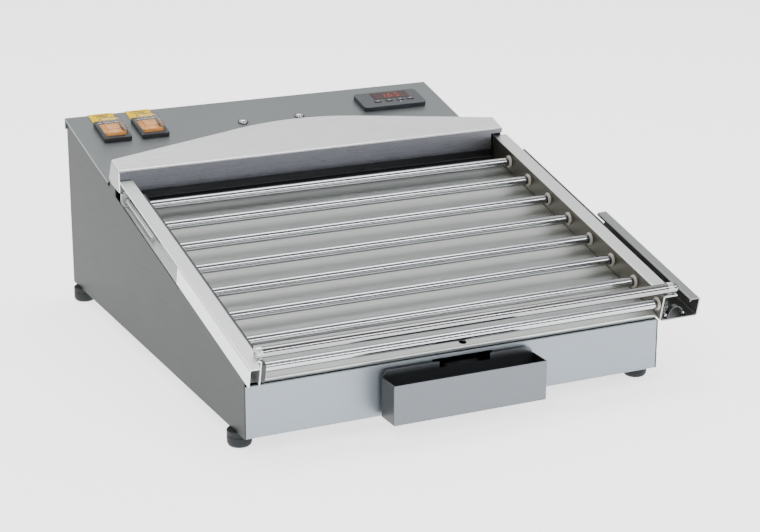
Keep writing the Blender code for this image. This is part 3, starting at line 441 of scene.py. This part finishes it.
def make_hood():
    """The folded hood with its rounded edges and the cut-out over the right rail."""
    crown = [HOOD_WIDTH / 2 + HOOD_CROWN_HALF * (1 - i / 10) for i in range(21)]
    outline = [(0.0, HOOD_FRONT), (HOOD_WIDTH, HOOD_FRONT)]
    outline += [(x, hood_back(x)) for x in [HOOD_WIDTH] + crown + [0.0]]
    bm = bmesh.new()
    top, foot = [], []
    for i, (x, y) in enumerate(outline):
        rise = (y - HOOD_FRONT) * math.tan(HOOD_SLOPE)
        top.append(bm.verts.new((x, y, HOOD_FRONT_TOP + rise)))
        lean = 0.0 if i < 2 else HOOD_SKIRT_RUN
        height = HOOD_FACE_BOTTOM if i < 2 else panel_height(y + lean) + 0.0004
        foot.append(bm.verts.new((x, y + lean, height)))
    bm.faces.new(top)
    for i in range(len(outline)):
        j = (i + 1) % len(outline)
        bm.faces.new((top[i], top[j], foot[j], foot[i]))
    mesh = to_mesh(bm, "hood_shell", CASE, angle=40)
    hood = piece("hood_shell", mesh, HOOD_STEEL, stands_for=["hood"])
    soften(hood, HOOD_BEND, 4, 25)
    sheet = hood.modifiers.new("sheet", 'SOLIDIFY')
    sheet.thickness = HOOD_SHEET
    sheet.offset = -1.0
    bm = bmesh.new()
    add_block(bm, *RAIL_NOTCH)
    cutter = bpy.data.objects.new("rail_notch", to_mesh(bm, "rail_notch", BED, False))
    bpy.context.scene.collection.objects.link(cutter)
    notch = hood.modifiers.new("notch", 'BOOLEAN')
    notch.operation = 'DIFFERENCE'
    notch.object = cutter
    bake(hood)
    bpy.data.objects.remove(cutter, do_unlink=True)


def bake(obj):
    """Applies obj's modifiers to its mesh, and then evens out the shading of its flat faces."""
    depsgraph = bpy.context.evaluated_depsgraph_get()
    mesh = bpy.data.meshes.new_from_object(obj.evaluated_get(depsgraph))
    obj.modifiers.clear()
    obj.data = mesh
    mesh.shade_smooth()
    mesh.set_sharp_from_angle(angle=math.radians(SHARP_ANGLE))
    flatten = obj.modifiers.new("flat_faces", 'WEIGHTED_NORMAL')
    flatten.keep_sharp = True


# ---- rollers, bushings, bar and drive --------------------------------------------------------
def tooth_outline():
    """Sprocket outline with round-rooted teeth."""
    outline = []
    for tooth in range(SPROCKET_TEETH):
        centre = 2 * math.pi * tooth / SPROCKET_TEETH
        for offset, radius in ((-0.50, SPROCKET_ROOT), (-0.28, SPROCKET_ROOT + 0.0002),
                               (-0.10, SPROCKET_TIP), (0.10, SPROCKET_TIP),
                               (0.28, SPROCKET_ROOT + 0.0002)):
            angle = centre + offset * 2 * math.pi / SPROCKET_TEETH
            outline.append((radius * math.cos(angle), radius * math.sin(angle)))
    return outline


def make_roller(number):
    """Rod with chamfered ends and thinner journals, its end ring and its sprocket. The second
    ring of points after each chamfer keeps the long faces' shading straight."""
    place = bed_place((number - 1) * ROLLER_PITCH)
    r, j, tip = ROLLER_RADIUS, JOURNAL_RADIUS, 0.0003
    chamfer = [(0.0007, 0.0), (0.0002, 0.0002), (0.0, 0.0007), (0.0, 0.0011)]
    profile = [(0.0, JOURNAL_START), (j - tip, JOURNAL_START), (j, JOURNAL_START + tip),
               (j, ROLLER_START)]
    profile += [(r - drop, ROLLER_START + run) for drop, run in chamfer]
    profile += [(r - drop, ROLLER_END - run) for drop, run in reversed(chamfer)]
    profile += [(j, ROLLER_END), (j, JOURNAL_END - tip), (j - tip, JOURNAL_END),
                (0.0, JOURNAL_END)]
    bm = bmesh.new()
    add_lathe(bm, profile[::-1], ROD_SEGMENTS)
    name = "roller_%d" % number
    piece("rod_%d" % number, to_mesh(bm, "rod", place), ROLLER_CHROME, name, [name])

    bm = bmesh.new()
    add_lathe(bm, [(0.0031, 0.4256), (0.0043, 0.4256), (0.0046, 0.4261), (0.0046, 0.4271),
                   (0.0043, 0.4276), (0.0031, 0.4276)], 32)
    piece("end_ring_%d" % number, to_mesh(bm, "end_ring", place), BLACK, name)
    make_sprocket("sprocket_%d" % number, place, name)


def make_sprocket(piece_name, place, body):
    """Toothed disc on a short hub."""
    bm = bmesh.new()
    add_plate(bm, tooth_outline(), SPROCKET_X, SPROCKET_X + SPROCKET_WIDTH, sideways)
    add_lathe(bm, [(JOURNAL_RADIUS, SPROCKET_X - 0.0006), (0.0040, SPROCKET_X - 0.0006),
                   (0.0040, SPROCKET_X + 0.0026), (JOURNAL_RADIUS, SPROCKET_X + 0.0026)], 24)
    piece(piece_name, to_mesh(bm, "sprocket", place), CHAIN_STEEL, body)


def make_bushing(number):
    """Flanged nylon bushing whose face falls away in a soft cone towards the wall."""
    face, seat, end = 0.4279, 0.4300, 0.4324
    bore = JOURNAL_RADIUS + 0.0003
    profile = [(bore, end), (0.0046, end), (0.0046, seat), (0.0066, seat),
               (0.0066, seat - 0.0006), (0.0062, seat - 0.0009), (0.0055, seat - 0.0013),
               (0.0051, face + 0.0003), (0.0048, face), (bore, face)]
    place = bed_place((number - 1) * ROLLER_PITCH)
    name = "bushing_%d" % number
    piece("flanged_" + name, lathe("flanged_bushing", profile, place), IVORY, "case",
          [name])


def make_stop_bar():
    """Round bar with domed ends, on two lugs."""
    y, z, r = -0.0025, 0.0177, 0.0050
    left, right = 0.0094, 0.4460
    dome = 0.0012
    profile = [(0.0, left), (r * 0.6, left + 0.0002), (r - 0.0003, left + dome / 2),
               (r, left + dome), (r, left + 2 * dome), (r, right - 2 * dome), (r, right - dome),
               (r - 0.0003, right - dome / 2), (r * 0.6, right - 0.0002), (0.0, right)]
    bm = bmesh.new()
    add_lathe(bm, profile[::-1], ROD_SEGMENTS)
    piece("stop_rod", to_mesh(bm, "stop_rod", bed_place(y, z)), BAR_CHROME, "case",
          ["stop_bar"])
    for side, x in (("left", 0.0125), ("right", 0.4380)):
        bm = bmesh.new()
        half = 0.0030
        outline = ([(-half, RAIL_TOP + 0.0003 - z), (half, RAIL_TOP + 0.0003 - z)]
                   + arc((0.0, 0.0), r + 0.0005, 20, 160, 8))
        add_plate(bm, outline, x - half, x + half, sideways)
        lug = piece("bar_lug_" + side, to_mesh(bm, "bar_lug", bed_place(y, z)), RAIL_STEEL,
                    "case")
        soften(lug, 0.0003)


def make_front_clip():
    """Dark sprung clip with two bright studs on the drive channel's floor, by the bar."""
    x, y, radius, width, lift = 0.4480, -0.0050, 0.0080, 0.0050, 0.0004
    place = BED @ Matrix.Translation((x, y, RAIL_FLOOR))
    bm = bmesh.new()
    outer = [(-radius - 0.003, 0.0)] + arc((0, 0.0030), radius, 180, 0, 16)
    outer += [(radius + 0.003, 0.0)]
    inner = [(radius + 0.003, 0.0010), (radius + 0.0005, 0.0010)]
    inner += arc((0, 0.0030), radius - 0.0010, 0, 180, 16)
    inner += [(-radius - 0.0005, 0.0010), (-radius - 0.003, 0.0010)]
    strip = outer + inner
    half = len(strip) // 2
    for i in range(half - 1):
        quad = [strip[i], strip[i + 1], strip[-2 - i], strip[-1 - i]]
        add_plate(bm, quad, -width / 2, width / 2, lambda u, v, depth: (u, depth, v + lift))
    bmesh.ops.remove_doubles(bm, verts=bm.verts, dist=WELD)
    piece("front_clip", to_mesh(bm, "front_clip", place), BLACK, "case")
    for side in (-1, 1):
        spot = place @ Matrix.Translation((side * (radius + 0.0018), 0.0, 0.0))
        name = "clip_stud_" + ("left" if side < 0 else "right")
        piece(name, lathe("clip_stud", STUD, spot @ UPRIGHT, 24), SCREW_CHROME, "case")


def make_rail_tab():
    """Folded tab and its screw that close the upper end of the left rail's channel."""
    rear, front, top = 0.3382, 0.3285, -0.0018
    floor, sheet = RAIL_FLOOR + 0.0003, 0.0010
    outline = [(front, floor), (rear, floor), (rear, top), (rear - sheet, top),
               (rear - sheet, floor + sheet), (front, floor + sheet)]
    bm = bmesh.new()
    add_plate(bm, outline, 0.0020, 0.0125, sideways)
    tab = piece("rail_tab", to_mesh(bm, "rail_tab", BED), RAIL_STEEL, "case")
    soften(tab, 0.0002)
    place = BED @ Matrix.Translation((0.0072, front + 0.0035, floor - 0.0003))
    piece("rail_tab_screw", lathe("rail_tab_screw", STUD, place @ UPRIGHT, 24), SCREW_CHROME,
          "case")


def make_chain():
    """Links along the obround path round the first and the last sprocket."""
    straight, turn = ROLLER_COUNT * ROLLER_PITCH, math.pi * CHAIN_RADIUS
    total, pitch = 2 * (straight + turn), 0.0041
    count = 2 * round(total / pitch / 2)

    def at(distance):
        """(y, z) of the path at a distance along it."""
        if distance < straight:
            return distance, CHAIN_RADIUS
        if distance < straight + turn:
            angle = math.pi / 2 - (distance - straight) / CHAIN_RADIUS
            return straight + CHAIN_RADIUS * math.cos(angle), CHAIN_RADIUS * math.sin(angle)
        if distance < 2 * straight + turn:
            return straight - (distance - straight - turn), -CHAIN_RADIUS
        angle = -math.pi / 2 - (distance - 2 * straight - turn) / CHAIN_RADIUS
        return CHAIN_RADIUS * math.cos(angle), CHAIN_RADIUS * math.sin(angle)

    link_end, pin_radius, pin_half, plate = 0.0010, 0.0008, 0.0010, 0.0003
    bm = bmesh.new()
    pins = [at(total * i / count) for i in range(count)]
    for i, (y, z) in enumerate(pins):
        y2, z2 = pins[(i + 1) % count]
        angle = math.atan2(z2 - z, y2 - y)
        length = math.hypot(y2 - y, z2 - z)
        outline = (arc((0.0, 0.0), link_end, 90, 270, 3)
                   + arc((length, 0.0), link_end, -90, 90, 3))
        turned = [(y + u * math.cos(angle) - v * math.sin(angle),
                   z + u * math.sin(angle) + v * math.cos(angle)) for u, v in outline]
        gap = 0.0010 if i % 2 else 0.0014
        for side in (-1, 1):
            inner, outer = sorted((side * gap, side * (gap + plate)))
            add_plate(bm, turned, CHAIN_X + inner, CHAIN_X + outer, sideways)
        hexagon = [(y + u, z + v) for u, v in arc((0, 0), pin_radius, 0, 300, 5)]
        add_plate(bm, hexagon, CHAIN_X - pin_half, CHAIN_X + pin_half, sideways)
    piece("chain_links", to_mesh(bm, "chain_links", BED), CHAIN_STEEL, "case",
          ["drive_chain"])


# ---- feet, screws and controls ---------------------------------------------------------------
def make_feet():
    """Rubber feet with a groove and a rounded, hollowed base."""
    r, top = FOOT_RADIUS, FOOT_HEIGHT
    outer = [(r - 0.0005, top), (r, top - 0.0005), (r, 0.0110), (r - 0.0004, 0.0106),
             (r - 0.0004, 0.0098), (r, 0.0094), (r, 0.0060)]
    outer += [(r - 0.0035 + 0.0035 * math.cos(a), 0.0050 - 0.0050 * math.sin(a))
              for a in (math.radians(15 * i) for i in range(1, 7))]
    profile = [(0.0, top)] + outer + [(0.0058, 0.0), (0.0048, 0.0012), (0.0, 0.0012)]
    for name, (x, y) in FEET.items():
        place = CASE @ Matrix.Translation((x, y, 0.0)) @ UPRIGHT
        piece("rubber_" + name, lathe("rubber_foot", profile, place, 48), RUBBER, "case",
              ["foot_" + name])


def make_screws():
    """Domed screw heads on thin black rings: painted shadow round each head's rim."""
    for side, x in SCREWS.items():
        place = PANEL @ Matrix.Translation((x, SCREW_Y, 0.0)) @ UPRIGHT
        piece("screw_head_" + side, lathe("screw_head", SCREW_DOME, place), SCREW_CHROME,
              "case", ["panel_screw_" + side])
        piece("screw_shadow_ring_" + side, lathe("screw_shadow_ring", SCREW_SHADOW_RING, place), BLACK, "case")


def make_rocker(side, x):
    """Amber rocker with two gently hollowed halves and its on and off marks."""
    place = (PANEL @ Matrix.Translation((x, SWITCH_Y, 0.0005))
             @ Matrix.Rotation(ROCKER_TILT, 4, 'X'))
    half, middle, rise, steps = 0.0136, 0.0022, 0.0028, 12
    top = []
    for i in range(steps + 1):
        u = half - 2 * half * i / steps
        top.append((u, middle + rise * (abs(u) / half) ** 1.5))
    outline = [(-half + 0.001, -0.0015), (-0.006, -0.0045), (0.006, -0.0045),
               (half - 0.001, -0.0015)] + top
    bm = bmesh.new()
    add_plate(bm, outline, -0.0103, 0.0103, sideways)
    body = "rocker_" + side
    rocker = piece("amber_" + body, to_mesh(bm, "amber_rocker", place, angle=40), AMBER, body,
                   [body])
    soften(rocker, 0.0005)

    bm = bmesh.new()
    hollow, deep = 0.20, 0.0002
    slope = Matrix.Translation((0.0, -0.0085, 0.0037)) @ Matrix.Rotation(-hollow, 4, 'X')
    outer, inner = (arc((0, 0), radius, 0, 345, 23) for radius in (0.0021, 0.0014))
    for i in range(len(outer)):
        j = (i + 1) % len(outer)
        add_plate(bm, [outer[i], outer[j], inner[j], inner[i]], -deep, deep,
                  lambda u, v, depth: slope @ Vector((u, v, depth)))
    slope = Matrix.Translation((0.0, 0.0080, 0.0036)) @ Matrix.Rotation(hollow, 4, 'X')
    add_block(bm, (-0.0004, -0.0026, -deep), (0.0004, 0.0026, deep), slope)
    bmesh.ops.remove_doubles(bm, verts=bm.verts, dist=WELD)
    piece("rocker_marks_" + side, to_mesh(bm, "rocker_marks", place), WHITE_PRINT, body)


def make_label_print(side, x):
    """Dark generic bars in place of the label's words."""
    bm = bmesh.new()
    for y, width in ((-0.0045, 0.0180), (-0.0080, 0.0130)):
        add_block(bm, (x - width / 2, y, 0.0006), (x + width / 2, y + 0.0014, 0.0007))
    piece("label_print_" + side, to_mesh(bm, "label_print", PANEL), PRINT, "case")


def make_digits():
    """Lit, leaning seven-segment digits lying just over the display window."""
    width, height, bar, lean, thick = 0.0042, 0.0080, 0.0007, 0.12, 0.0001
    half, gap = bar / 2, bar * 0.7
    bars = {"a": (0, height, width, 0), "g": (0, height / 2, width, 0), "d": (0, 0, width, 0),
            "b": (width, height / 2, 0, height / 2), "c": (width, 0, 0, height / 2),
            "f": (0, height / 2, 0, height / 2), "e": (0, 0, 0, height / 2)}
    pitch = 0.0085
    left = WINDOW_CENTRE[0] - pitch * len(DISPLAY_TEXT) / 2 + 0.0016
    bm = bmesh.new()
    for index, digit in enumerate(DISPLAY_TEXT):
        place = Matrix.Translation((left + pitch * index, WINDOW_CENTRE[1] - height / 2,
                                    WINDOW_TOP + 0.00005))
        for key in SEGMENTS[digit]:
            u, v, du, dv = bars[key]
            inset_u, inset_v = (gap, -half) if du else (-half, gap)
            low = (u + inset_u, v + inset_v, 0.0)
            high = (u + du - inset_u, v + dv - inset_v, thick)
            for vert in add_block(bm, low, high):
                vert.co.x += lean * vert.co.y
                vert.co = place @ vert.co
    piece("display_digits", to_mesh(bm, "display_digits", PANEL, False), DIGITS, "case")


def make_button_marks():
    """A small raised arrow or bar on each button, and a white dot below them."""
    thick = 0.0001
    for number, x in enumerate(BUTTON_XS, 1):
        bm = bmesh.new()
        place = Matrix.Translation((x, BUTTON_Y, BUTTON_TOP))
        if number in (2, 3):
            turn = 1 if number == 2 else -1
            outline = [(-0.0011, -0.0006 * turn), (0.0011, -0.0006 * turn), (0.0, 0.0008 * turn)]
            add_plate(bm, outline, 0.0, thick, lambda u, v, depth: place @ Vector((u, v, depth)))
        else:
            add_block(bm, (-0.0014, -0.0003, 0.0), (0.0014, 0.0003, thick), place)
        piece("button_mark_%d" % number, to_mesh(bm, "button_mark", PANEL, False), WHITE_PRINT,
              "controller_button_%d" % number)
    bm = bmesh.new()
    add_lathe(bm, [(0.0, 0.0046), (0.0006, 0.0046), (0.0006, 0.0050), (0.0, 0.0050)], 16)
    spot = Matrix.Translation((*INDICATOR, 0.0)) @ UPRIGHT
    piece("indicator_dot", to_mesh(bm, "indicator_dot", PANEL @ spot), WHITE_PRINT, "case")


# ---- studio ----------------------------------------------------------------------------------
FLOOR_HALF = 6.0
FLOOR_GLOW = 2.0
# The sky's brightness by the direction's z, from the horizon (0) to straight up (1). Its dark
# band and the bright one over it give the metal its dark and light reflections.
SKY_SHADES = ((0.0, 0.33), (0.10, 0.33), (0.14, 0.05), (0.24, 0.05), (0.36, 0.20), (0.46, 1.0),
              (0.60, 0.32), (1.0, 0.20))
SKY_FRONT, SKY_BACK = (-0.6, 0.6), (0.3, 3.4)      # (y of the direction, strength)
# name, place, the point it looks at, size, watts
LIGHTS = (("key", (-1.4, -1.2, 2.0), (0.0, 0.0, 0.1), (1.2, 1.2), 26.0),
          ("top", (0.2, 0.6, 2.2), (0.0, 0.1, 0.1), (2.2, 0.7), 30.0),
          ("fill", (0.9, -1.7, 1.1), (0.0, 0.0, 0.1), (1.6, 0.30), 14.0))


def make_floor():
    """A pale floor with a glow of its own, so that it stays nearly white."""
    bm = bmesh.new()
    bmesh.ops.create_grid(bm, x_segments=1, y_segments=1, size=FLOOR_HALF)
    floor = bpy.data.objects.new("floor", to_mesh(bm, "floor", Matrix(), False))
    bpy.context.scene.collection.objects.link(floor)
    paint, tree, shader = new_material("floor_paint")
    shade = spread(tree, noise(tree, EVEN, 0.8, 2.0), 0.0, 1.0)
    tree.links.new(mix_colours(tree, shade, (0.88, 0.88, 0.88), (0.90, 0.90, 0.90)),
                   shader.inputs["Base Color"])
    shader.inputs["Roughness"].default_value = 0.9
    shader.inputs["Emission Color"].default_value = (1.0, 1.0, 1.0, 1.0)
    shader.inputs["Emission Strength"].default_value = FLOOR_GLOW
    floor.data.materials.append(paint)


def make_light(name, place, aim, size, power):
    light = bpy.data.lights.new(name, 'AREA')
    light.shape = 'RECTANGLE'
    light.size, light.size_y = size
    light.energy = power
    obj = bpy.data.objects.new(name, light)
    bpy.context.scene.collection.objects.link(obj)
    obj.location = place
    obj.rotation_euler = (Vector(aim) - Vector(place)).to_track_quat('-Z', 'Y').to_euler()


def make_sky():
    """A banded sky, stronger behind the object than in front of it."""
    world = bpy.data.worlds.new("studio")
    world.use_nodes = True
    tree = world.node_tree
    coordinates = tree.nodes.new("ShaderNodeTexCoord")
    split = tree.nodes.new("ShaderNodeSeparateXYZ")
    ramp = tree.nodes.new("ShaderNodeValToRGB")
    while len(ramp.color_ramp.elements) < len(SKY_SHADES):
        ramp.color_ramp.elements.new(0.5)
    for element, (position, shade) in zip(ramp.color_ramp.elements, SKY_SHADES):
        element.position = position
        element.color = (shade, shade, shade, 1.0)
    tree.links.new(coordinates.outputs["Generated"], split.inputs["Vector"])
    tree.links.new(split.outputs["Z"], ramp.inputs["Fac"])
    depth = tree.nodes.new("ShaderNodeMapRange")
    depth.inputs["From Min"].default_value, depth.inputs["To Min"].default_value = SKY_FRONT
    depth.inputs["From Max"].default_value, depth.inputs["To Max"].default_value = SKY_BACK
    tree.links.new(split.outputs["Y"], depth.inputs["Value"])
    background = tree.nodes["Background"]
    tree.links.new(ramp.outputs["Color"], background.inputs["Color"])
    tree.links.new(depth.outputs["Result"], background.inputs["Strength"])
    bpy.context.scene.world = world


def make_camera():
    """A long lens from the front left, a little above the object."""
    yaw, pitch = math.radians(25.35), math.radians(17.37)
    forward = Vector((math.sin(yaw) * math.cos(pitch), math.cos(yaw) * math.cos(pitch),
                      -math.sin(pitch)))
    camera = bpy.data.cameras.new("camera")
    camera.lens = 94.5
    camera.sensor_width = 36.0
    camera.shift_x, camera.shift_y = 0.0120, -0.0067
    obj = bpy.data.objects.new("camera", camera)
    obj.location = (-0.8328, -1.7634, 0.6935)
    obj.rotation_euler = forward.to_track_quat('-Z', 'Y').to_euler()
    bpy.context.scene.collection.objects.link(obj)
    bpy.context.scene.camera = obj


# ---- the whole object ------------------------------------------------------------------------
# Edge radius of the CAD nodes that stay.
EDGES = {
    0.0003: ("left_guard_rail", "right_guard_rail", "left_bearing_rail", "right_bearing_rail",
             "grease_box", "switch_cover_left", "switch_cover_right", "left_side_panel",
             "right_side_panel", "bed_plate"),
    0.0007: ("control_panel", "switch_bezel_left", "switch_bezel_right"),
    0.0008: ("controller_housing",),
}


def dress_cad():
    """Finishes and soft edges of the CAD nodes that stay."""
    dress(SIDE_STEEL, "left_side_panel", "right_side_panel", "rear_panel", "base_pan")
    dress(FRONT_STEEL, "front_panel")
    dress(PANEL_STEEL, "control_panel")
    dress(BED_STEEL, "bed_plate")
    dress(RAIL_STEEL, "left_guard_rail", "left_bearing_rail", "chain_end_cover",
          "heat_baffle", "temperature_probe")
    dress(WALL_STEEL, "right_bearing_rail")
    dress(GUARD_STEEL, "right_guard_rail")
    dress(BOX_STEEL, "grease_box")
    dress(CHAIN_STEEL, "drive_sprocket")
    dress(MOTOR, "gearmotor")
    dress(ELEMENT, "heating_element")
    dress(BLACK, "left_bearing_strip", "switch_bezel_left", "switch_bezel_right", "power_inlet")
    dress(SLATE, "controller_housing", *["controller_button_%d" % i for i in range(1, 5)])
    dress(DISPLAY, "controller_window")
    dress(YELLOW, "switch_label_left", "switch_label_right")
    dress(CLEAR, "switch_cover_left", "switch_cover_right")
    for width, nodes in EDGES.items():
        for node in nodes:
            soften(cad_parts[node], width)


dress_cad()
make_hood()
for roller_number in range(1, ROLLER_COUNT + 1):
    make_roller(roller_number)
    make_bushing(roller_number)
make_stop_bar()
make_front_clip()
make_rail_tab()
make_chain()
make_feet()
make_screws()
for switch_side, switch_x in SWITCHES.items():
    make_rocker(switch_side, switch_x)
    make_label_print(switch_side, switch_x)
make_digits()
make_button_marks()
make_floor()
make_sky()
for light in LIGHTS:
    make_light(*light)
make_camera()
